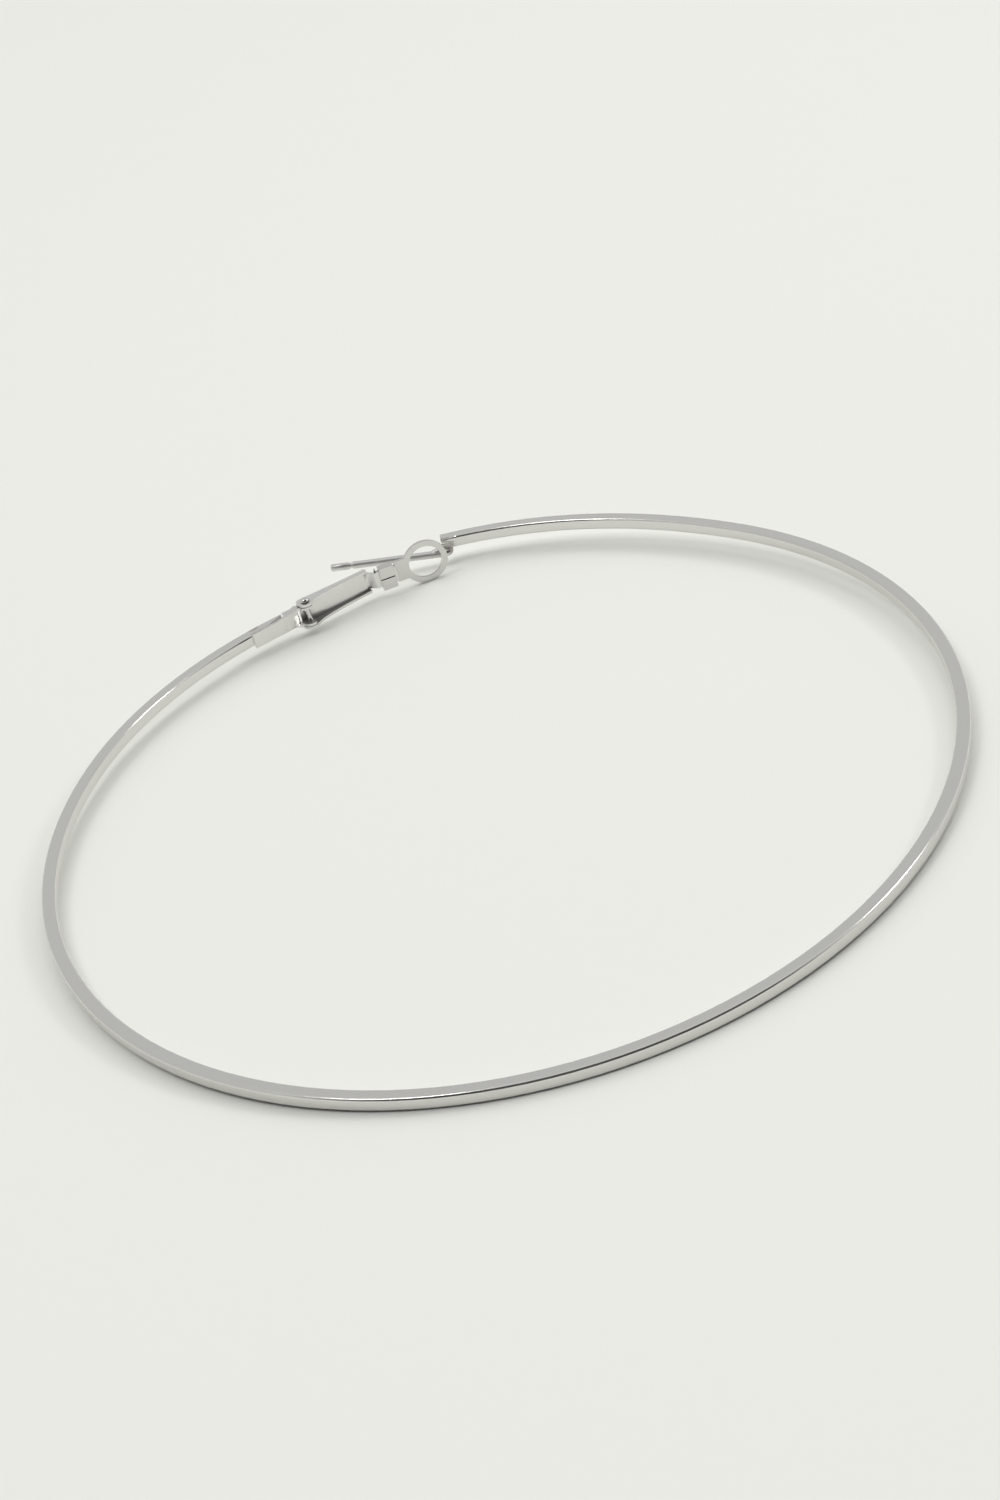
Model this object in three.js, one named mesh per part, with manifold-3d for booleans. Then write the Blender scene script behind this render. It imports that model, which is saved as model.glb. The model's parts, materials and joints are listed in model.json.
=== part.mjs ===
// Hoop earring with a hinged lever clasp, in millimetres, +Z up, lying on its side as it rests.
//
// Two frames are used. In the hoop's frame the hoop's mid-plane is z = 0, its centre is the origin, and
// angles run anticlockwise from +X. In the clasp's frame the hinge's axis is z, +X runs from the hinge to
// the ring, and +Y points out of the hoop. Both ends of the tube are at the hoop's +Y side.
import * as THREE from "three";
import { mergeVertices } from "three/addons/utils/BufferGeometryUtils.js";
import Module from "manifold-3d";

const wasm = await Module();
wasm.setup();

// The tube: square, hollow, bent to a circle whose two ends run off it a little.
const HOOP_OUTER = 100;
const TUBE_SIDE = 1.5;
const TUBE_CORNER = 0.3;
const TUBE_WALL = 0.28;
const TUBE_STEPS = 132;
const HINGE_END_ANGLE = 114;
const POST_END_ANGLE = 88.5 + 360;
const HINGE_END_RUN = { from: 76, to: 152, by: -2.8 };
const POST_END_RUN = { from: 45 + 360, to: 94.5 + 360, by: 2.6 };
const POST_END_PLUG = 1.5;
const HOOP_RADIUS = HOOP_OUTER / 2 - TUBE_SIDE / 2;

// The ear post: a wire soldered under the tube's end, with a groove near its tip.
const POST_RADIUS = 0.45;
const POST_ROOT = new THREE.Vector3(1.3, 50.9, -1.14);
const POST_TIP = new THREE.Vector3(-12.54, 53.08, 0);
const POST_FOOT = new THREE.Vector3(2.1, 51.4, -0.94);
const POST_BEND = 0.3;
const SOLDER_LUMP = { at: [0.75, 51.2, -0.9], reach: 1.25, radius: 0.5 };
const GROOVE_FROM_TIP = 2.5;
const GROOVE_WIDTH = 0.3;
const GROOVE_DEPTH = 0.1;
const TIP_ROUND = 0.12;

// The clasp.
const HINGE = { x: -16.34, y: 44.0, turn: 14.9 };
const SHEET = 0.32;
const LEVER_HALF_HEIGHT = { hinge: 1.75, claws: 1.5 };
const LEVER_START = -0.95;
const CHANNEL_END = 8.55;
const CHANNEL_FACE = [[LEVER_START, 0.62], [1.5, 0.74], [5.0, 1.04], [CHANNEL_END, 1.42]];
const CHANNEL_FREE_EDGE = [[CHANNEL_END, 0.98], [4.5, 0.46], [1.9, -0.12], [0.75, -0.66]];
const EAR_RADIUS = 1.0;
const LEVER_EAR_ARC = { from: -48, to: -180 };
const LEVER_HEEL_RADIUS = 1.1;
const LEVER_HEEL_ARC = { from: -190, to: -232 };
const TONGUE_HALF_HEIGHT = 1.05;
const TONGUE_START = 7.35;
const TONGUE_STEP = [[TONGUE_START, 1.3], [8.3, 1.36], [8.95, 0.85], [9.3, 0.53]];
const TONGUE_END = 12.15;
const TONGUE_TIP = { y: 0.17, rounding: 0.3 };
const BRACKET_HALF_HEIGHT = 1.3;
const TANG_HALF_HEIGHT = 0.95;
const TANG_END = -7.5;
const SOLDER = 0.12;
const NECK_START = -3.05;
const NECK_END = -1.2;
const NECK_REACH = 0.8;
const NECK_SHOULDER = 0.2;
const NECK_INNER = -0.4;
const TANG_FACE = [[TANG_END, -1.24], [-5.2, -0.9], [NECK_START, -0.54], [-1.9, -0.1], [NECK_END, 0.26]];
const EAR_ARC = { from: -165, to: -60 };
const KNUCKLE_RADIUS = 0.56;
const KNUCKLE_ARC = { from: -38, to: 90 };
const PIN_RADIUS = 0.3;
const PIN_CLEARANCE = 0.04;
const PRESS_CLEARANCE = 0.012;
const RIVET_HEAD = { radius: 0.55, height: 0.38, gap: 0.04 };

// The ring plate, whose claws grip the lever's tongue.
const RING_OUTER_RADIUS = 2.8;
const RING_HOLE_RADIUS = 2.08;
const RING_PLATE = 0.38;
const RING_AT = { x: 15.75, y: 0.28, turn: -7 };
const GRIP_GAP = 0.03;
const TAIL_START = -6.42;
const TAIL_HALF_HEIGHT = 1.4;
const TAIL_TAPER = 0.2;
const TAIL_IN_RING = -1.5;
const NOTCH_SLANT = 0.02;
const CLAW = { from: -5.9, to: -4.1, halfHeight: 1.5, notch: 0.34, notchHalfHeight: 0.95, parting: 0.14 };

// How far a cutting block reaches past the piece it cuts, and the clasp's whole span.
const CLASP_HEIGHT = 8;
const CLASP_DEPTH = 16;
const CLASP_LENGTH = 30;
const PAST = 2;

const SILVER = { color: 0xc9c8c4, roughness: 0.2, metalness: 1 };
const radians = THREE.MathUtils.degToRad;

// A closed geometry as a manifold-3d solid.
function solid(geometry) {
  const bare = new THREE.BufferGeometry().setAttribute("position", geometry.getAttribute("position"));
  if (geometry.index) bare.setIndex(geometry.index);
  const merged = mergeVertices(bare, 1e-3);
  return new wasm.Manifold(
    new wasm.Mesh({
      numProp: 3,
      vertProperties: merged.attributes.position.array,
      triVerts: new Uint32Array(merged.index.array),
    }),
  );
}

// A manifold-3d solid as a geometry.
function geometryOf(made) {
  const mesh = made.getMesh();
  const geometry = new THREE.BufferGeometry();
  geometry.setAttribute("position", new THREE.BufferAttribute(mesh.vertProperties, 3));
  geometry.setIndex(new THREE.BufferAttribute(mesh.triVerts, 1));
  geometry.computeVertexNormals();
  return geometry;
}

// A named mesh in the earring's metal.
function metalPiece(name, geometry) {
  const mesh = new THREE.Mesh(geometry, new THREE.MeshStandardMaterial(SILVER));
  mesh.name = name;
  return mesh;
}

// An outline in the plan (x, y), extruded over all heights of the clasp.
function planBlock(points) {
  const settings = { depth: CLASP_HEIGHT, bevelEnabled: false };
  const block = new THREE.ExtrudeGeometry(new THREE.Shape(points), settings);
  return solid(block.translate(0, 0, -CLASP_HEIGHT / 2));
}

// An outline in the side view (x, z), extruded across the clasp.
function sideBlock(points) {
  const settings = { depth: CLASP_DEPTH, bevelEnabled: false };
  const block = new THREE.ExtrudeGeometry(new THREE.Shape(points), settings);
  return solid(block.rotateX(Math.PI / 2).translate(0, CLASP_DEPTH / 2, 0));
}

// The side view's outline of a piece that is symmetric about z = 0, from its (x, half height) points.
function symmetric(points) {
  const top = points.map(([x, h]) => new THREE.Vector2(x, h));
  const bottom = points.map(([x, h]) => new THREE.Vector2(x, -h)).reverse();
  return [...bottom, ...top].reverse();
}

// Points along a smooth line through the given ones.
function smooth(points, count = 14) {
  return new THREE.SplineCurve(points.map(([x, y]) => new THREE.Vector2(x, y))).getSpacedPoints(count);
}

// A line moved sideways, to its left where the distance is positive.
function offset(line, distance) {
  return line.map((point, i) => {
    const before = line[Math.max(i - 1, 0)];
    const after = line[Math.min(i + 1, line.length - 1)];
    const along = after.clone().sub(before).normalize();
    return new THREE.Vector2(point.x - along.y * distance, point.y + along.x * distance);
  });
}

// Points on a circle about the hinge's axis.
function arc(radius, fromDegrees, toDegrees, count = 10) {
  return Array.from({ length: count + 1 }, (_, i) => {
    const angle = radians(THREE.MathUtils.lerp(fromDegrees, toDegrees, i / count));
    return new THREE.Vector2(radius * Math.cos(angle), radius * Math.sin(angle));
  });
}

// A round bar along z.
function bar(radius, length, sides = 28) {
  return solid(new THREE.CylinderGeometry(radius, radius, length, sides).rotateX(Math.PI / 2));
}

// The tube's centreline from the hinge end, round the hoop, to the post end.
class HoopLine extends THREE.Curve {
  getPoint(t, target = new THREE.Vector3()) {
    const angle = THREE.MathUtils.lerp(HINGE_END_ANGLE, POST_END_ANGLE, t);
    const hingeRun = 1 - THREE.MathUtils.smoothstep(angle, HINGE_END_RUN.from, HINGE_END_RUN.to);
    const postRun = THREE.MathUtils.smoothstep(angle, POST_END_RUN.from, POST_END_RUN.to);
    const radius = HOOP_RADIUS + hingeRun * HINGE_END_RUN.by + postRun * POST_END_RUN.by;
    return target.set(radius * Math.cos(radians(angle)), radius * Math.sin(radians(angle)), 0);
  }
}

// A square of rounded corners, centred.
function roundedSquare(side, corner) {
  const half = side / 2;
  const flat = half - corner;
  const shape = new THREE.Shape();
  shape.absarc(flat, flat, corner, 0, Math.PI / 2);
  shape.absarc(-flat, flat, corner, Math.PI / 2, Math.PI);
  shape.absarc(-flat, -flat, corner, Math.PI, 1.5 * Math.PI);
  shape.absarc(flat, -flat, corner, 1.5 * Math.PI, 2 * Math.PI);
  return shape;
}

// A section swept along a curve.
function sweep(shape, curve, steps, curveSegments) {
  return solid(new THREE.ExtrudeGeometry(shape, { extrudePath: curve, steps, curveSegments }));
}

// The bent square tube, open at its hinge end and plugged where the post is soldered.
function tubeSolid() {
  const line = new HoopLine();
  const boreSide = TUBE_SIDE - 2 * TUBE_WALL;
  const outside = sweep(roundedSquare(TUBE_SIDE, TUBE_CORNER), line, TUBE_STEPS, 3);
  const bore = sweep(roundedSquare(boreSide, TUBE_CORNER / 3), line, TUBE_STEPS, 1);
  const plug = solid(new THREE.BoxGeometry(POST_END_PLUG * 2, TUBE_SIDE, TUBE_SIDE));
  const end = line.getPoint(1);
  return outside.subtract(bore.subtract(plug.translate([end.x, end.y, end.z])));
}

// The straight ear post, with its groove and its rounded tip, and the bent foot soldered to the tube
// under a lump of solder.
function postSolid() {
  const reach = POST_TIP.clone().sub(POST_ROOT);
  const length = reach.length();
  const groove = length - GROOVE_FROM_TIP;
  const profile = [
    [0, 0],
    [POST_RADIUS, 0],
    [POST_RADIUS, groove - GROOVE_WIDTH],
    [POST_RADIUS - GROOVE_DEPTH, groove - GROOVE_WIDTH / 2],
    [POST_RADIUS - GROOVE_DEPTH, groove + GROOVE_WIDTH / 2],
    [POST_RADIUS, groove + GROOVE_WIDTH],
    [POST_RADIUS, length - TIP_ROUND],
    [POST_RADIUS - TIP_ROUND, length],
    [0, length],
  ].map(([x, y]) => new THREE.Vector2(x, y));
  const aim = new THREE.Quaternion().setFromUnitVectors(new THREE.Vector3(0, 1, 0), reach.normalize());
  const post = new THREE.LatheGeometry(profile, 20).applyQuaternion(aim);
  const bend = POST_ROOT.clone().addScaledVector(reach, -1);
  const inPost = POST_ROOT.clone().addScaledVector(reach, POST_BEND);
  const foot = new THREE.QuadraticBezierCurve3(POST_FOOT, bend, inPost);
  const wire = new THREE.Shape().absarc(0, 0, POST_RADIUS * 0.99, 0, 2 * Math.PI);
  const lump = new THREE.SphereGeometry(SOLDER_LUMP.radius, 20, 12)
    .scale(SOLDER_LUMP.reach / SOLDER_LUMP.radius, 1, 1)
    .translate(...SOLDER_LUMP.at);
  return solid(post.translate(...POST_ROOT)).add(sweep(wire, foot, 10, 10)).add(solid(lump));
}

// The hinge bracket: a tang soldered to the tube's inner side, and a neck whose top and bottom reach
// outwards past the tube's end to the two ears, with the pin's bore.
function bracketSolid() {
  const face = smooth(TANG_FACE);
  const back = offset(face, SHEET + SOLDER);
  const ears = [
    ...arc(EAR_RADIUS, EAR_ARC.from, EAR_ARC.to),
    ...arc(KNUCKLE_RADIUS, KNUCKLE_ARC.from, KNUCKLE_ARC.to),
    new THREE.Vector2(NECK_END, KNUCKLE_RADIUS),
    new THREE.Vector2(NECK_END - NECK_SHOULDER, NECK_REACH),
    new THREE.Vector2(NECK_START, NECK_REACH),
    new THREE.Vector2(NECK_START, NECK_INNER),
  ];
  const tang = planBlock([...face, ...back.reverse()]);
  const outline = tang.add(planBlock(ears));
  const side = sideBlock(
    symmetric([
      [TANG_END - 1, TANG_HALF_HEIGHT],
      [-4.4, TANG_HALF_HEIGHT],
      [NECK_END - 0.7, TANG_HALF_HEIGHT + 0.1],
      [NECK_END - 0.1, BRACKET_HALF_HEIGHT],
      [EAR_RADIUS + PAST, BRACKET_HALF_HEIGHT],
    ]),
  );
  const betweenEars = 2 * (BRACKET_HALF_HEIGHT - SHEET);
  const inside = solid(new THREE.BoxGeometry(CLASP_LENGTH, CLASP_DEPTH, betweenEars)).subtract(tang);
  const bore = bar(PIN_RADIUS + PRESS_CLEARANCE, CLASP_HEIGHT);
  return outline.intersect(side).subtract(inside).subtract(bore);
}

// The tube, the post and the bracket, soldered together.
function hoopTube() {
  const toHoop = new THREE.Matrix4()
    .makeRotationZ(radians(HINGE.turn))
    .setPosition(HINGE.x, HINGE.y, 0);
  const bracket = bracketSolid().transform(toHoop.elements);
  return metalPiece("hoop_tube", geometryOf(tubeSolid().add(postSolid()).add(bracket)));
}

// The rivet through the ears, with a domed head at each end.
function hingePin() {
  const under = LEVER_HALF_HEIGHT.hinge + RIVET_HEAD.gap;
  const dome = Array.from({ length: 7 }, (_, i) => {
    const angle = (i / 6) * (Math.PI / 2);
    return [RIVET_HEAD.radius * Math.cos(angle), under + RIVET_HEAD.height * Math.sin(angle)];
  });
  const upper = [[PIN_RADIUS, under], ...dome];
  const lower = upper.map(([x, z]) => [x, -z]).reverse();
  const profile = [...lower, ...upper].map(([x, z]) => new THREE.Vector2(Math.max(x, 0), z));
  profile[0].x = 0;
  profile.at(-1).x = 0;
  return metalPiece("hinge_pin", new THREE.LatheGeometry(profile, 28).rotateX(Math.PI / 2));
}

// The lever: a U channel that opens towards the hoop's centre, stepped down to a flat tongue.
function leverChannel() {
  const channelFace = smooth(CHANNEL_FACE);
  const freeEdge = [
    ...smooth(CHANNEL_FREE_EDGE, 8),
    ...arc(EAR_RADIUS, LEVER_EAR_ARC.from, LEVER_EAR_ARC.to, 12),
    ...arc(LEVER_HEEL_RADIUS, LEVER_HEEL_ARC.from, LEVER_HEEL_ARC.to, 5),
  ];
  const outer = planBlock([...offset(channelFace, SHEET).slice(1), ...freeEdge]);
  const height = (trim) =>
    symmetric([
      [LEVER_START - PAST, LEVER_HALF_HEIGHT.hinge - trim],
      [CHANNEL_END + PAST, LEVER_HALF_HEIGHT.claws - trim],
    ]);
  const open = [new THREE.Vector2(12, 1.8), new THREE.Vector2(12, -4), new THREE.Vector2(-4, -4)];
  const cavity = planBlock([...channelFace, ...open, new THREE.Vector2(-4, 0.2)].reverse());
  const channel = outer
    .intersect(sideBlock(height(0)))
    .subtract(cavity.intersect(sideBlock(height(SHEET))))
    .subtract(bar(PIN_RADIUS + PIN_CLEARANCE, CLASP_HEIGHT));
  const tongueLine = [...smooth(TONGUE_STEP, 10), new THREE.Vector2(TONGUE_END, TONGUE_TIP.y)];
  const tipStart = TONGUE_END - TONGUE_TIP.rounding;
  const tongueOutline = new THREE.Shape();
  tongueOutline.moveTo(TONGUE_START, -TONGUE_HALF_HEIGHT);
  tongueOutline.lineTo(tipStart, -TONGUE_HALF_HEIGHT);
  tongueOutline.quadraticCurveTo(TONGUE_END, 0, tipStart, TONGUE_HALF_HEIGHT);
  tongueOutline.lineTo(TONGUE_START, TONGUE_HALF_HEIGHT);
  const tongue = planBlock([...tongueLine, ...offset(tongueLine, SHEET).reverse()]).intersect(
    sideBlock(tongueOutline.getPoints(8)),
  );
  return metalPiece("lever_channel", geometryOf(channel.add(tongue)));
}

// The ring plate, in a frame of its own: the ring's centre is the origin and the plate is y = 0 to its
// thickness. Its tail runs to -X, and its claws fold round the tongue, to -Y.
function ringPlate() {
  const tail = symmetric([
    [TAIL_START, TAIL_HALF_HEIGHT - TAIL_TAPER],
    [CLAW.from - CLAW.notch, TAIL_HALF_HEIGHT],
    [CLAW.from - CLAW.notch + NOTCH_SLANT, CLAW.notchHalfHeight],
    [CLAW.from - NOTCH_SLANT, CLAW.notchHalfHeight],
    [CLAW.from, CLAW.halfHeight],
    [CLAW.to, CLAW.halfHeight],
    [CLAW.to + NOTCH_SLANT, CLAW.notchHalfHeight],
    [CLAW.to + CLAW.notch - NOTCH_SLANT, CLAW.notchHalfHeight],
    [CLAW.to + CLAW.notch, TAIL_HALF_HEIGHT],
    [TAIL_IN_RING, TAIL_HALF_HEIGHT],
  ]);
  const disc = bar(RING_OUTER_RADIUS, CLASP_DEPTH, 56).rotate([90, 0, 0]);
  const hole = bar(RING_HOLE_RADIUS, CLASP_DEPTH + PAST, 48).rotate([90, 0, 0]);
  const slab = new THREE.BoxGeometry(CLASP_LENGTH, RING_PLATE, CLASP_HEIGHT);
  const plate = sideBlock(tail)
    .add(disc)
    .subtract(hole)
    .intersect(solid(slab.translate(0, RING_PLATE / 2, 0)));
  const grip = SHEET + 2 * GRIP_GAP;
  const clawLength = CLAW.to - CLAW.from;
  const clawMiddle = (CLAW.to + CLAW.from) / 2;
  const clawDepth = grip + SHEET + RING_PLATE;
  const wrap = new THREE.BoxGeometry(clawLength, clawDepth, 2 * CLAW.halfHeight);
  const slot = new THREE.BoxGeometry(clawLength * 2, grip, 2 * (TONGUE_HALF_HEIGHT + GRIP_GAP));
  const parting = new THREE.BoxGeometry(clawLength * 2, clawDepth, CLAW.parting);
  const claws = solid(wrap.translate(clawMiddle, RING_PLATE - clawDepth / 2, 0))
    .subtract(solid(slot.translate(clawMiddle, -grip / 2, 0)))
    .subtract(solid(parting.translate(clawMiddle, -clawDepth / 2, 0)));
  return metalPiece("ring_plate", geometryOf(plate.add(claws)));
}

// The clasp's moving pieces and its pin, in the clasp's frame.
function clasp() {
  const group = new THREE.Group();
  const ring = ringPlate();
  ring.position.set(RING_AT.x, RING_AT.y - RING_PLATE / 2, 0);
  ring.rotation.z = radians(RING_AT.turn);
  group.add(hingePin(), leverChannel(), ring);
  group.position.set(HINGE.x, HINGE.y, 0);
  group.rotation.z = radians(HINGE.turn);
  return group;
}

// The whole earring, tilted as it rests: the ring's lower edge and the far side of the tube both touch
// the table. The origin is the middle of its bounding box, at the bottom.
function earring() {
  const level = new THREE.Group();
  level.add(hoopTube(), clasp());
  const towardsRing = new THREE.Vector3(RING_AT.x, RING_AT.y, 0)
    .applyAxisAngle(new THREE.Vector3(0, 0, 1), radians(HINGE.turn))
    .add(new THREE.Vector3(HINGE.x, HINGE.y, 0));
  const span = towardsRing.length() + HOOP_OUTER / 2 - TUBE_CORNER;
  const tiltAxis = new THREE.Vector3(towardsRing.y, -towardsRing.x, 0).normalize();
  level.setRotationFromAxisAngle(tiltAxis, Math.atan((RING_OUTER_RADIUS - TUBE_SIDE / 2) / span));
  const part = new THREE.Group();
  part.add(level);
  const box = new THREE.Box3().setFromObject(part, true);
  level.position.set(-(box.min.x + box.max.x) / 2, -(box.min.y + box.max.y) / 2, -box.min.z);
  return part;
}

export default earring();
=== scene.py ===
import json
from math import cos, radians, sin

import bmesh
import bpy
from mathutils import Matrix, Vector


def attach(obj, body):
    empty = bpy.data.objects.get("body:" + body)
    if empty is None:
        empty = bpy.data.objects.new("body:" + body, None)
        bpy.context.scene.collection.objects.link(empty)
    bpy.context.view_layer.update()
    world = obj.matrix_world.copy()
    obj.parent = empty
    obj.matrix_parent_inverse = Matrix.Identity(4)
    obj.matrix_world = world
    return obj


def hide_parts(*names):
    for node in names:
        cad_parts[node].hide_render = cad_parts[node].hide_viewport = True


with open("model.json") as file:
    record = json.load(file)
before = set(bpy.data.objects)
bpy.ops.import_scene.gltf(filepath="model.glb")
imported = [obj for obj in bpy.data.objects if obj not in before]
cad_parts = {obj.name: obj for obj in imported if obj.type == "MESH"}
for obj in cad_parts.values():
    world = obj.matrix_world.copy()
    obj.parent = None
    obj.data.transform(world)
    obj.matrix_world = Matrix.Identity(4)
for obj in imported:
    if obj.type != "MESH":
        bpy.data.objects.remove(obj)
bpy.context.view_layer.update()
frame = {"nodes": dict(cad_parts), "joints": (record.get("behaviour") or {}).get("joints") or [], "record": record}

# --------------------------------------------------------------------------------------------------
# The studio: a camera a third of the way up and turned a little on its own axis, a pale seamless
# sweep, a wide scrim overhead that the metal doesn't mirror, and a small lamp each side that it does.
# The hoop's plane is tilted, so its centre and axes come from the hinge and the mount under the tube.
MM = 0.001
TUBE_SIDE = 1.5 * MM
HOOP_RADIUS = 49.25 * MM
hinge = frame["joints"][0]
underside = Vector(frame["record"]["mounts"][0]["pos_m"])
hoop_up = -Vector(hinge["axis"]).normalized()
hoop_right = Vector((1, 0, 0))
hoop_ahead = hoop_up.cross(hoop_right).normalized()
hoop_centre = underside + hoop_up * TUBE_SIDE / 2 + hoop_ahead * HOOP_RADIUS
CAMERA = {
    "rise": 34.37,
    "distance": 277.6 * MM,
    "yaw": -0.21,
    "pitch": 0.49,
    "roll": 16.06,
    "lens": 62.8,
}
CAMERA_REACH = (0.01, 20)
LAMP_COLOR = (1.0, 0.995, 0.98)
SWEEP_COLOR = (0.87, 0.875, 0.84, 1)
SWEEP_HALF_WIDTH = 3.0
ROOM_STRENGTH = 0.7
ROOM_TINT = 0.985
ROOM_BY_HEIGHT = ((0.3, 0.88), (0.55, 0.9), (0.75, 0.85))


def studio_camera():
    rise = radians(CAMERA["rise"])
    back = hoop_up * sin(rise) - hoop_ahead * cos(rise)
    right, forward = hoop_right, -back
    up = right.cross(forward)
    yaw = Matrix.Rotation(radians(CAMERA["yaw"]), 3, up)
    aim = yaw @ Matrix.Rotation(radians(CAMERA["pitch"]), 3, right)
    forward, right = aim @ forward, aim @ right
    right = Matrix.Rotation(radians(CAMERA["roll"]), 3, forward) @ right
    up = right.cross(forward)
    data = bpy.data.cameras.new("studio_camera")
    data.lens = CAMERA["lens"]
    data.clip_start, data.clip_end = CAMERA_REACH
    camera = bpy.data.objects.new("studio_camera", data)
    turn = Matrix((right, up, -forward)).transposed()
    camera.matrix_world = Matrix.Translation(hoop_centre + back * CAMERA["distance"]) @ turn.to_4x4()
    bpy.context.collection.objects.link(camera)
    bpy.context.scene.camera = camera
    return camera


def soft_box(name, size, at, energy, mirrored=True):
    data = bpy.data.lights.new(name, "AREA")
    data.shape = "RECTANGLE"
    data.size, data.size_y = size
    data.energy = energy
    data.color = LAMP_COLOR
    light = bpy.data.objects.new(name, data)
    light.location = at
    light.visible_glossy = mirrored
    light.rotation_euler = (hoop_centre - Vector(at)).to_track_quat("-Z", "Y").to_euler()
    bpy.context.collection.objects.link(light)


def floor_material():
    material = bpy.data.materials.new("studio_sweep")
    material.use_nodes = True
    tree = material.node_tree
    shader = tree.nodes["Principled BSDF"]
    shader.inputs["Base Color"].default_value = SWEEP_COLOR
    shader.inputs["Roughness"].default_value = 0.75
    shader.inputs["Specular IOR Level"].default_value = 0.25
    place = tree.nodes.new("ShaderNodeTexCoord")
    grain = tree.nodes.new("ShaderNodeTexNoise")
    grain.inputs["Scale"].default_value = 900
    bump = tree.nodes.new("ShaderNodeBump")
    bump.inputs["Strength"].default_value = 0.04
    bump.inputs["Distance"].default_value = 0.0001
    tree.links.new(place.outputs["Object"], grain.inputs["Vector"])
    tree.links.new(grain.outputs["Fac"], bump.inputs["Height"])
    tree.links.new(bump.outputs["Normal"], shader.inputs["Normal"])
    return material


def studio_floor():
    grid = bmesh.new()
    bmesh.ops.create_grid(grid, x_segments=1, y_segments=1, size=SWEEP_HALF_WIDTH)
    mesh = bpy.data.meshes.new("studio_floor")
    grid.to_mesh(mesh)
    grid.free()
    mesh.materials.append(floor_material())
    floor = bpy.data.objects.new("studio_floor", mesh)
    bpy.context.collection.objects.link(floor)


def studio_room(toward_camera, edge, core, dark):
    """A pale room with one soft dark patch behind the camera, which draws the hoop's edges."""
    world = bpy.data.worlds.new("studio_room")
    world.use_nodes = True
    bpy.context.scene.world = world
    tree = world.node_tree
    place = tree.nodes.new("ShaderNodeTexCoord")
    parts = tree.nodes.new("ShaderNodeSeparateXYZ")
    height = tree.nodes.new("ShaderNodeValToRGB")
    ramp = height.color_ramp
    ramp.elements[0].position, ramp.elements[0].color = 0.0, (0.95, 0.95, 0.93, 1)
    ramp.elements[1].position, ramp.elements[1].color = 0.95, (1.05, 1.05, 1.03, 1)
    for position, value in ROOM_BY_HEIGHT:
        stop = ramp.elements.new(position)
        stop.color = (value, value, value * ROOM_TINT, 1)
    tree.links.new(place.outputs["Generated"], parts.inputs[0])
    tree.links.new(parts.outputs["Z"], height.inputs["Fac"])
    facing = tree.nodes.new("ShaderNodeVectorMath")
    facing.operation = "DOT_PRODUCT"
    facing.inputs[1].default_value = toward_camera.normalized()
    shade = tree.nodes.new("ShaderNodeMapRange")
    shade.inputs["From Min"].default_value = edge
    shade.inputs["From Max"].default_value = core
    shade.inputs["To Min"].default_value = 1.0
    shade.inputs["To Max"].default_value = dark
    dimmed = tree.nodes.new("ShaderNodeVectorMath")
    dimmed.operation = "SCALE"
    background = tree.nodes["Background"]
    background.inputs["Strength"].default_value = ROOM_STRENGTH
    tree.links.new(place.outputs["Generated"], facing.inputs[0])
    tree.links.new(facing.outputs["Value"], shade.inputs["Value"])
    tree.links.new(height.outputs["Color"], dimmed.inputs[0])
    tree.links.new(shade.outputs["Result"], dimmed.inputs["Scale"])
    tree.links.new(dimmed.outputs["Vector"], background.inputs["Color"])


camera = studio_camera()
studio_room(camera.matrix_world.translation - hoop_centre, edge=0.55, core=0.75, dark=0.14)
studio_floor()
soft_box("overhead_scrim", size=(1.8, 1.8), at=(0.1, 0.35, 1.05), energy=7.9, mirrored=False)
soft_box("left_lamp", size=(0.14, 0.3), at=(-0.35, -0.05, 0.9), energy=0.9)
soft_box("right_lamp", size=(0.2, 0.2), at=(0.8, 0.0, 0.62), energy=1.3)
bpy.context.scene.view_settings.view_transform = "Standard"


# --------------------------------------------------------------------------------------------------
# The hoop: thin-walled square tube, drawn, bent round a former, polished and plated. The ear post is
# soldered under one end and the hinge bracket inside the other, both duller than the tube, whose bright
# surface has fine lengthwise draw lines, faint handling marks, and a film where the solder ran.
FILM_COLOR = (0.46, 0.44, 0.4, 1)
# Painted shade: the near-black that crevices, gaps and folds between parts are darkened toward.
PAINTED_CREVICE_SHADE = (0.035, 0.033, 0.03, 1)
HOOP_LINES = (9000, 9000, 14)
SHEET_LINES = (500, 1500, 9000)
SHARP_EDGE = radians(50)
FLAT_ANGLE = radians(0.6)
SAME_POINT = 0.002 * MM
POST_BESIDE_TUBE = 0.2 * MM
POST_UP_TO = 1.25 * MM
BRACKET_FROM = -24.5 * MM
BRACKET_INSIDE = 3.0 * MM
BORE_HALF_HEIGHT = 0.5 * MM
BORE_INSIDE = 2.4 * MM
TUBE_END = -19.6 * MM
POST_SLOT, BRACKET_SLOT = 1, 2


def node_group(name, inputs, outputs):
    group = bpy.data.node_groups.new(name, "ShaderNodeTree")
    for way, sockets in (("INPUT", inputs), ("OUTPUT", outputs)):
        for label, kind in sockets:
            group.interface.new_socket(label, in_out=way, socket_type=kind)
    return group, group.nodes.new("NodeGroupInput"), group.nodes.new("NodeGroupOutput")


def add(tree, kind, **settings):
    node = tree.nodes.new(kind)
    for key, value in settings.items():
        setattr(node, key, value)
    return node


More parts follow.
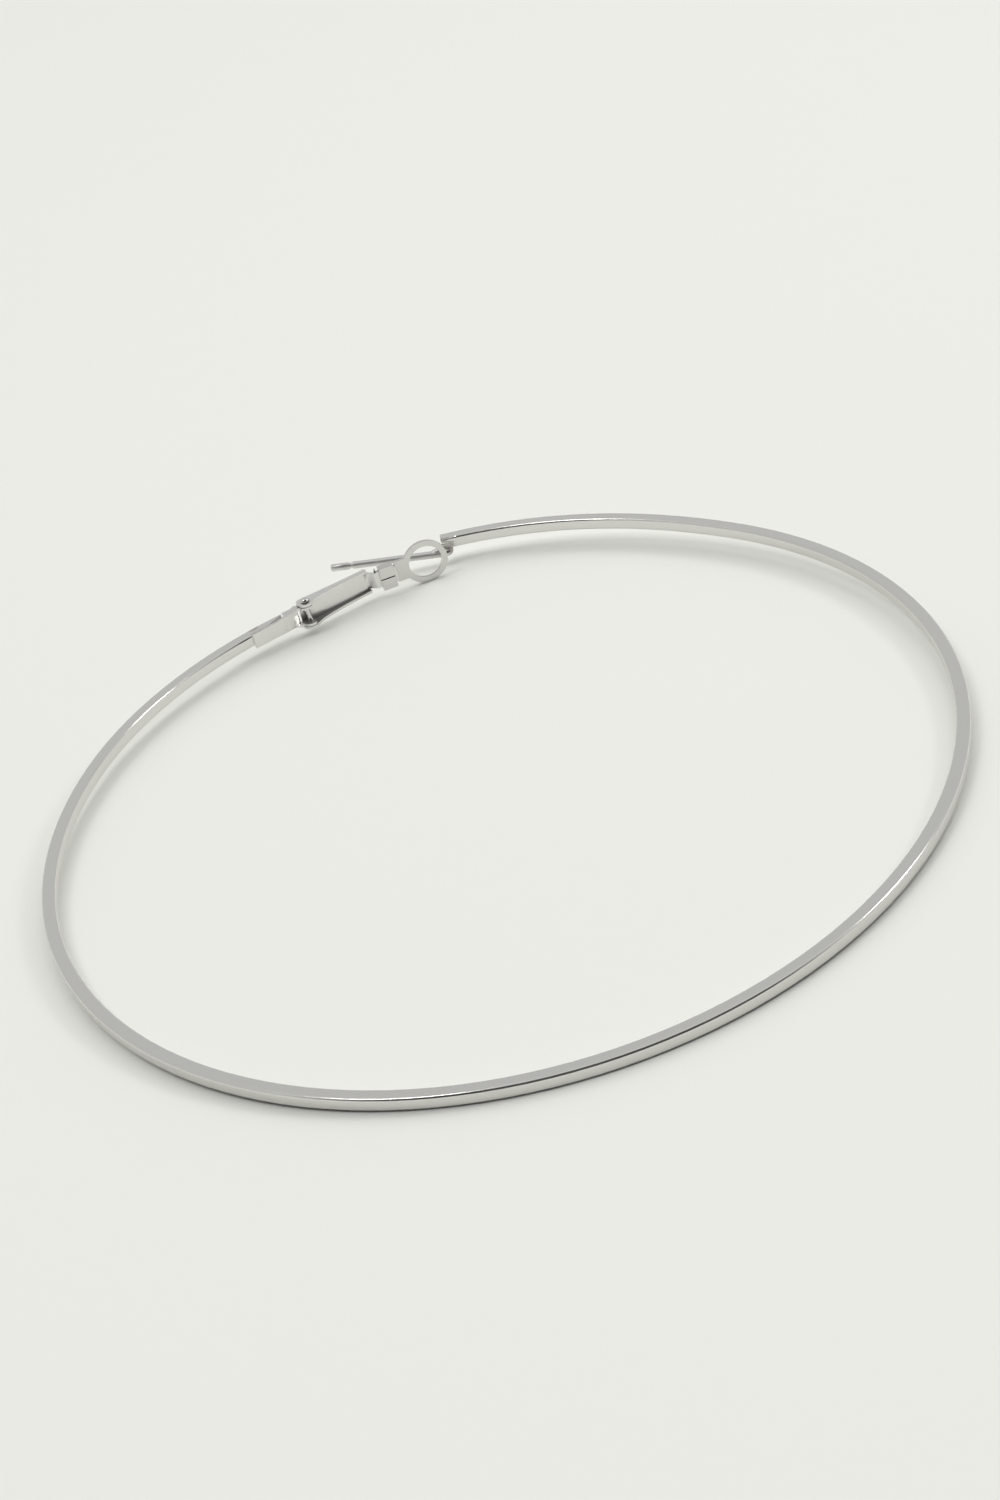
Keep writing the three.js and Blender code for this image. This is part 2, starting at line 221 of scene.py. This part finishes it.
def plated_metal_group():
    """Plated metal: a mirror with draw lines, dulling smudges, films of solder, and painted shade darkening its
    crevices.
    """
    group, given, result = node_group(
        "plated_metal",
        [
            ("Lines", "NodeSocketVector"),
            ("Place", "NodeSocketVector"),
            ("Color", "NodeSocketColor"),
            ("Roughness", "NodeSocketFloat"),
            ("Line Depth", "NodeSocketFloat"),
            ("Film", "NodeSocketFloat"),
            ("Crevice Shade Reach", "NodeSocketFloat"),
        ],
        [
            ("Color", "NodeSocketColor"),
            ("Roughness", "NodeSocketFloat"),
            ("Normal", "NodeSocketVector"),
        ],
    )
    lines = add(group, "ShaderNodeTexNoise")
    lines.inputs["Scale"].default_value = 1.0
    lines.inputs["Detail"].default_value = 3.0
    smudges = add(group, "ShaderNodeTexNoise")
    smudges.inputs["Scale"].default_value = 260.0
    smudges.inputs["Detail"].default_value = 4.0
    dull = add(group, "ShaderNodeMapRange")
    dull.inputs["From Min"].default_value = 0.5
    dull.inputs["From Max"].default_value = 0.75
    dull.inputs["To Max"].default_value = 0.1
    line_dull = add(group, "ShaderNodeMath", operation="MULTIPLY")
    line_dull.inputs[1].default_value = 0.07
    film_dull = add(group, "ShaderNodeMath", operation="MULTIPLY")
    film_dull.inputs[1].default_value = 0.22
    tint = add(group, "ShaderNodeMix", data_type="RGBA")
    tint.inputs["B"].default_value = FILM_COLOR
    # Painted shade: ambient occlusion darkens the colour toward near-black in crevices, gaps and between parts,
    # where shadow falls.
    crevice_shade = add(group, "ShaderNodeAmbientOcclusion", samples=6)
    unshaded_share = add(group, "ShaderNodeMapRange")
    unshaded_share.inputs["From Min"].default_value = 0.12
    unshaded_share.inputs["From Max"].default_value = 0.6
    painted_crevice_shade = add(group, "ShaderNodeMix", data_type="RGBA")
    painted_crevice_shade.inputs["A"].default_value = PAINTED_CREVICE_SHADE
    bump = add(group, "ShaderNodeBump")
    bump.inputs["Distance"].default_value = 0.02 * MM

    link = group.links.new
    link(given.outputs["Lines"], lines.inputs["Vector"])
    link(given.outputs["Place"], smudges.inputs["Vector"])
    link(smudges.outputs["Fac"], dull.inputs["Value"])
    link(lines.outputs["Fac"], line_dull.inputs[0])
    link(given.outputs["Film"], film_dull.inputs[0])
    roughness = given.outputs["Roughness"]
    for dulled in (dull.outputs["Result"], line_dull.outputs[0], film_dull.outputs[0]):
        total = add(group, "ShaderNodeMath", operation="ADD")
        link(roughness, total.inputs[0])
        link(dulled, total.inputs[1])
        roughness = total.outputs[0]
    link(roughness, result.inputs["Roughness"])
    link(given.outputs["Film"], tint.inputs["Factor"])
    link(given.outputs["Color"], tint.inputs["A"])
    link(given.outputs["Crevice Shade Reach"], crevice_shade.inputs["Distance"])
    link(crevice_shade.outputs["AO"], unshaded_share.inputs["Value"])
    link(unshaded_share.outputs["Result"], painted_crevice_shade.inputs["Factor"])
    link(tint.outputs["Result"], painted_crevice_shade.inputs["B"])
    link(painted_crevice_shade.outputs["Result"], result.inputs["Color"])
    link(given.outputs["Line Depth"], bump.inputs["Strength"])
    link(lines.outputs["Fac"], bump.inputs["Height"])
    link(bump.outputs["Normal"], result.inputs["Normal"])
    return group


def near_group():
    """One near a point, fading to nothing at Reach, with a ragged edge."""
    group, given, result = node_group(
        "near_point",
        [
            ("Place", "NodeSocketVector"),
            ("Point", "NodeSocketVector"),
            ("Reach", "NodeSocketFloat"),
        ],
        [("Amount", "NodeSocketFloat")],
    )
    ragged = add(group, "ShaderNodeTexNoise")
    ragged.inputs["Scale"].default_value = 1600.0
    apart = add(group, "ShaderNodeVectorMath", operation="DISTANCE")
    spread = add(group, "ShaderNodeMath", operation="DIVIDE")
    edge = add(group, "ShaderNodeMath", operation="ADD")
    fade = add(group, "ShaderNodeMapRange")
    fade.inputs["From Min"].default_value = 0.9
    fade.inputs["From Max"].default_value = 1.5
    fade.inputs["To Min"].default_value = 1.0
    fade.inputs["To Max"].default_value = 0.0
    link = group.links.new
    link(given.outputs["Place"], ragged.inputs["Vector"])
    link(given.outputs["Place"], apart.inputs[0])
    link(given.outputs["Point"], apart.inputs[1])
    link(apart.outputs["Value"], spread.inputs[0])
    link(given.outputs["Reach"], spread.inputs[1])
    link(spread.outputs[0], edge.inputs[0])
    link(ragged.outputs["Fac"], edge.inputs[1])
    link(edge.outputs[0], fade.inputs["Value"])
    link(fade.outputs["Result"], result.inputs["Amount"])
    return group


PLATED_METAL = plated_metal_group()
NEAR_POINT = near_group()


def metal_material(name, color, roughness, line_depth, around_hoop=False, films=(), crevice_shade=0.6 * MM):
    """Plated metal whose draw lines run round the hoop, or along a flat piece of sheet."""
    material = bpy.data.materials.new(name)
    material.use_nodes = True
    tree = material.node_tree
    shader = tree.nodes["Principled BSDF"]
    shader.inputs["Metallic"].default_value = 1.0
    place = add(tree, "ShaderNodeTexCoord")
    metal = add(tree, "ShaderNodeGroup", node_tree=PLATED_METAL)
    metal.inputs["Color"].default_value = (*color, 1)
    metal.inputs["Roughness"].default_value = roughness
    metal.inputs["Line Depth"].default_value = line_depth
    # How far the painted shade in crevices reaches.
    metal.inputs["Crevice Shade Reach"].default_value = crevice_shade
    stretch = add(tree, "ShaderNodeVectorMath", operation="MULTIPLY")
    link = tree.links.new
    if around_hoop:
        # Draw lines keep their distance from the hoop's centre, so the noise reads radius and height.
        centred = add(tree, "ShaderNodeVectorMath", operation="SUBTRACT")
        centred.inputs[1].default_value = (hoop_centre.x, hoop_centre.y, 0)
        parts = add(tree, "ShaderNodeSeparateXYZ")
        flat = add(tree, "ShaderNodeCombineXYZ")
        radius = add(tree, "ShaderNodeVectorMath", operation="LENGTH")
        turn = add(tree, "ShaderNodeMath", operation="ARCTAN2")
        polar = add(tree, "ShaderNodeCombineXYZ")
        link(place.outputs["Object"], centred.inputs[0])
        link(centred.outputs["Vector"], parts.inputs[0])
        link(parts.outputs["X"], flat.inputs["X"])
        link(parts.outputs["Y"], flat.inputs["Y"])
        link(flat.outputs[0], radius.inputs[0])
        link(parts.outputs["Y"], turn.inputs[0])
        link(parts.outputs["X"], turn.inputs[1])
        link(radius.outputs["Value"], polar.inputs["X"])
        link(parts.outputs["Z"], polar.inputs["Y"])
        link(turn.outputs[0], polar.inputs["Z"])
        link(polar.outputs[0], stretch.inputs[0])
        stretch.inputs[1].default_value = HOOP_LINES
    else:
        link(place.outputs["Object"], stretch.inputs[0])
        stretch.inputs[1].default_value = SHEET_LINES
    link(stretch.outputs["Vector"], metal.inputs["Lines"])
    link(place.outputs["Object"], metal.inputs["Place"])
    film = None
    for point, reach in films:
        near = add(tree, "ShaderNodeGroup", node_tree=NEAR_POINT)
        near.inputs["Point"].default_value = point
        near.inputs["Reach"].default_value = reach
        link(place.outputs["Object"], near.inputs["Place"])
        if film is None:
            film = near.outputs["Amount"]
        else:
            most = add(tree, "ShaderNodeMath", operation="MAXIMUM")
            link(film, most.inputs[0])
            link(near.outputs["Amount"], most.inputs[1])
            film = most.outputs[0]
    if film is not None:
        link(film, metal.inputs["Film"])
    link(metal.outputs["Color"], shader.inputs["Base Color"])
    link(metal.outputs["Roughness"], shader.inputs["Roughness"])
    link(metal.outputs["Normal"], shader.inputs["Normal"])
    return material


def finished(node, name, material, rounding=0):
    """The CAD node's surface made smooth: flat faces merged, sharp edges rounded, curves shaded."""
    work = bmesh.new()
    work.from_mesh(frame["nodes"][node].data)
    bmesh.ops.remove_doubles(work, verts=work.verts, dist=SAME_POINT)
    bmesh.ops.dissolve_limit(work, angle_limit=FLAT_ANGLE, verts=work.verts, edges=work.edges)
    if rounding:
        folds = [edge for edge in work.edges if len(edge.link_faces) == 2]
        bmesh.ops.bevel(
            work,
            geom=[edge for edge in folds if edge.calc_face_angle() > SHARP_EDGE],
            offset=rounding,
            segments=2,
            profile=0.5,
            affect="EDGES",
            clamp_overlap=True,
        )
    mesh = bpy.data.meshes.new(name)
    work.to_mesh(mesh)
    work.free()
    mesh.materials.append(material)
    mesh.shade_smooth()
    mesh.set_sharp_from_angle(angle=SHARP_EDGE)
    piece = bpy.data.objects.new(name, mesh)
    bpy.context.collection.objects.link(piece)
    weighted = piece.modifiers.new("flat_faces_stay_flat", "WEIGHTED_NORMAL")
    weighted.keep_sharp = True
    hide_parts(node)
    return piece


def on_hoop(right, ahead, up):
    """The point this many millimetres from the hoop's centre, along its own axes."""
    return hoop_centre + (hoop_right * right + hoop_ahead * ahead + hoop_up * up) * MM


post_foot = on_hoop(right=2.2, ahead=51.2, up=-1.0)
tang_seam = on_hoop(right=-23.2, ahead=42.9, up=0.9)
solder_films = [(post_foot, 1.2 * MM), (tang_seam, 0.9 * MM)]
tube_metal = metal_material(
    "hoop_plating",
    color=(0.74, 0.735, 0.715),
    roughness=0.1,
    line_depth=0.08,
    around_hoop=True,
    films=solder_films,
)
tube = finished("hoop_tube", "hoop_tube_finish", tube_metal)
post_metal = metal_material("post_steel", color=(0.72, 0.715, 0.7), roughness=0.38, line_depth=0.05)
bracket_metal = metal_material(
    "bracket_plating", color=(0.74, 0.735, 0.715), roughness=0.24, line_depth=0.1
)
tube.data.materials.append(post_metal)
tube.data.materials.append(bracket_metal)
for face in tube.data.polygons:
    from_centre = face.center - hoop_centre
    radius = from_centre.length
    along = from_centre.dot(hoop_right)
    beside_tube = radius > HOOP_RADIUS + TUBE_SIDE / 2 + POST_BESIDE_TUBE
    off_tube = radius < HOOP_RADIUS - BRACKET_INSIDE or along > TUBE_END
    at_mid_height = abs(from_centre.dot(hoop_up)) < BORE_HALF_HEIGHT
    in_bore = at_mid_height and radius > HOOP_RADIUS - BORE_INSIDE
    if beside_tube and along < POST_UP_TO:
        face.material_index = POST_SLOT
    elif BRACKET_FROM < along < 0 and from_centre.dot(hoop_ahead) > 0:
        if off_tube and not in_bore:
            face.material_index = BRACKET_SLOT
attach(tube, "hoop")


# --------------------------------------------------------------------------------------------------
# The hinge pin: a short rivet of the same metal, its two ends upset to domes. The domes are the
# brightest spots of the clasp.
pin_metal = metal_material("pin_plating", color=(0.7, 0.695, 0.68), roughness=0.06, line_depth=0.02)
pin = finished("hinge_pin", "hinge_pin_finish", pin_metal)
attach(pin, "hoop")


# --------------------------------------------------------------------------------------------------
# The lever: pressed sheet, a U channel narrowing to a tongue. Its edges are rounded by tumbling, and
# its surface is softer than the tube's, with a film where its ears rub on the bracket.
ear_film = [(Vector(hinge["pos_m"]), 0.9 * MM)]
lever_metal = metal_material(
    "lever_plating",
    color=(0.78, 0.775, 0.76),
    roughness=0.25,
    line_depth=0.1,
    films=ear_film,
    # The painted shade reaches further into the channel's folds.
    crevice_shade=0.8 * MM,
)
lever = finished("lever_channel", "lever_channel_finish", lever_metal, rounding=0.05 * MM)
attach(lever, "lever")


# --------------------------------------------------------------------------------------------------
# The ring plate: a thin stamping of plated sheet, a round ring with a tail. The tail's two claws are
# folded over the lever's tongue, which is all that holds it.
ring_metal = metal_material(
    # The painted shade reaches furthest here, darkening the gaps round the claws.
    "ring_plating", color=(0.68, 0.675, 0.66), roughness=0.18, line_depth=0.06, crevice_shade=1.2 * MM
)
ring = finished("ring_plate", "ring_plate_finish", ring_metal, rounding=0.1 * MM)
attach(ring, "lever")
